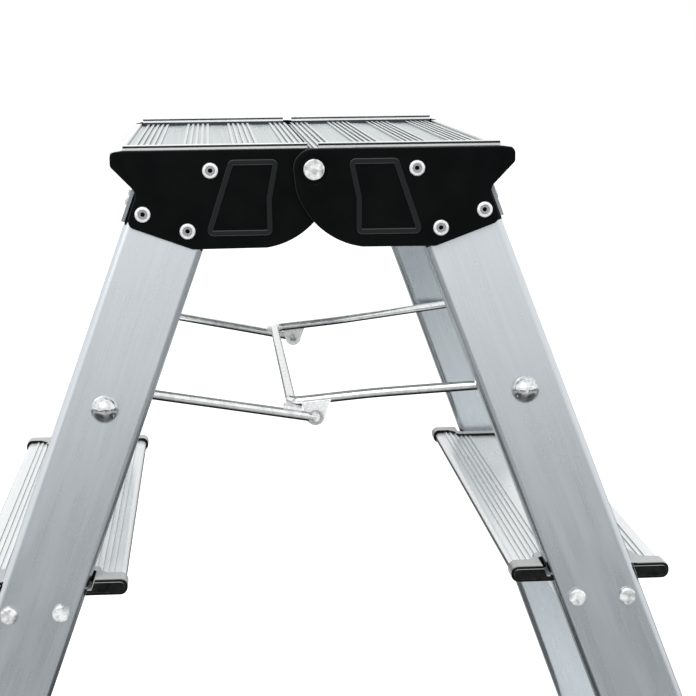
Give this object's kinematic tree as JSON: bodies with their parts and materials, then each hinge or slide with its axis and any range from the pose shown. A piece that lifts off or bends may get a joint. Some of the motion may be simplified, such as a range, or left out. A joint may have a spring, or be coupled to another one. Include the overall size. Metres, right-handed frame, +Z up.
{
  "type": "folding step ladder",
  "caption": "Double-sided folding step ladder: tubular aluminium stiles, ribbed treads, a split ribbed platform hinged in black side plates, and a wire spreader that locks it open.",
  "frame": {"origin": "centre of the floor area under the opened ladder, at the level of the feet", "axes": "+X across the ladder from the left frame to the right frame, +Y along the treads to the far end, +Z up"},
  "size_m": [0.7478, 0.5318, 0.7524],
  "materials": {
    "stile_aluminium": "brushed",
    "tread_aluminium": "extruded",
    "trim_aluminium": "satin",
    "plate_plastic": "satin",
    "cap_plastic": "satin",
    "foot_rubber": "matte",
    "rivet_metal": "plain",
    "plated_steel": "zinc plated",
    "dome_steel": "bright",
    "spreader_wire": "zinc plated"
  },
  "bodies": {
    "left_frame": {"hinge_pin_far": "plated_steel", "hinge_pin_near": "plated_steel", "hinge_washers": "plated_steel", "left_foot_far": "foot_rubber", "left_foot_near": "foot_rubber", "left_foot_rivets": "rivet_metal", "left_lower_tread": "tread_aluminium", "left_lower_tread_cap_far": "cap_plastic", "left_lower_tread_cap_near": "cap_plastic", "left_plate_rivets": "rivet_metal", "left_platform": "tread_aluminium", "left_platform_trim_far": "trim_aluminium", "left_platform_trim_near": "trim_aluminium", "left_side_plate_far": "plate_plastic", "left_side_plate_near": "plate_plastic", "left_skirt_rivets": "rivet_metal", "left_stile_far": "stile_aluminium", "left_stile_near": "stile_aluminium", "left_tread_screws": "plated_steel", "left_upper_tread": "tread_aluminium", "left_upper_tread_cap_far": "cap_plastic", "left_upper_tread_cap_near": "cap_plastic"},
    "right_frame": {"right_foot_far": "foot_rubber", "right_foot_near": "foot_rubber", "right_foot_rivets": "rivet_metal", "right_lower_tread": "tread_aluminium", "right_lower_tread_cap_far": "cap_plastic", "right_lower_tread_cap_near": "cap_plastic", "right_plate_rivets": "rivet_metal", "right_platform": "tread_aluminium", "right_platform_trim_far": "trim_aluminium", "right_platform_trim_near": "trim_aluminium", "right_side_plate_far": "plate_plastic", "right_side_plate_near": "plate_plastic", "right_skirt_rivets": "rivet_metal", "right_stile_far": "stile_aluminium", "right_stile_near": "stile_aluminium", "right_tread_screws": "plated_steel", "right_upper_tread": "tread_aluminium", "right_upper_tread_cap_far": "cap_plastic", "right_upper_tread_cap_near": "cap_plastic"},
    "bail": {"spreader_bail": "spreader_wire", "bail_lugs": "spreader_wire", "bail_stop_tabs": "spreader_wire", "bail_knee_heads": "plated_steel", "bail_dome_caps": "dome_steel"},
    "rod_near": {"spreader_rod_near": "spreader_wire", "rod_knee_rivet_near": "plated_steel", "rod_dome_cap_near": "dome_steel"},
    "rod_far": {"spreader_rod_far": "spreader_wire", "rod_knee_rivet_far": "plated_steel", "rod_dome_cap_far": "dome_steel"}
  },
  "joints": [
    {"name": "fold", "type": "hinge", "parent": "left_frame", "child": "right_frame", "pos_m": [0, 0, 0.7375], "axis": [0, 1, 0], "range_deg": [0, 40]},
    {"name": "bail_pivot", "type": "hinge", "parent": "right_frame", "child": "bail", "pos_m": [0.12306, 0, 0.60633], "axis": [0, 1, 0], "range_deg": [0, 43.9]},
    {"name": "rod_near_pivot", "type": "hinge", "parent": "left_frame", "child": "rod_near", "pos_m": [-0.12396, 0, 0.60069], "axis": [0, 1, 0], "range_deg": [-44.7, 0]},
    {"name": "rod_far_pivot", "type": "hinge", "parent": "left_frame", "child": "rod_far", "pos_m": [-0.12396, 0, 0.60069], "axis": [0, 1, 0], "range_deg": [-44.7, 0]}
  ],
  "couplings": [
    {"joint": "bail_pivot", "follows": "fold", "ratio": 1.0956},
    {"joint": "rod_near_pivot", "follows": "fold", "ratio": -1.114},
    {"joint": "rod_far_pivot", "follows": "fold", "ratio": -1.114}
  ]
}
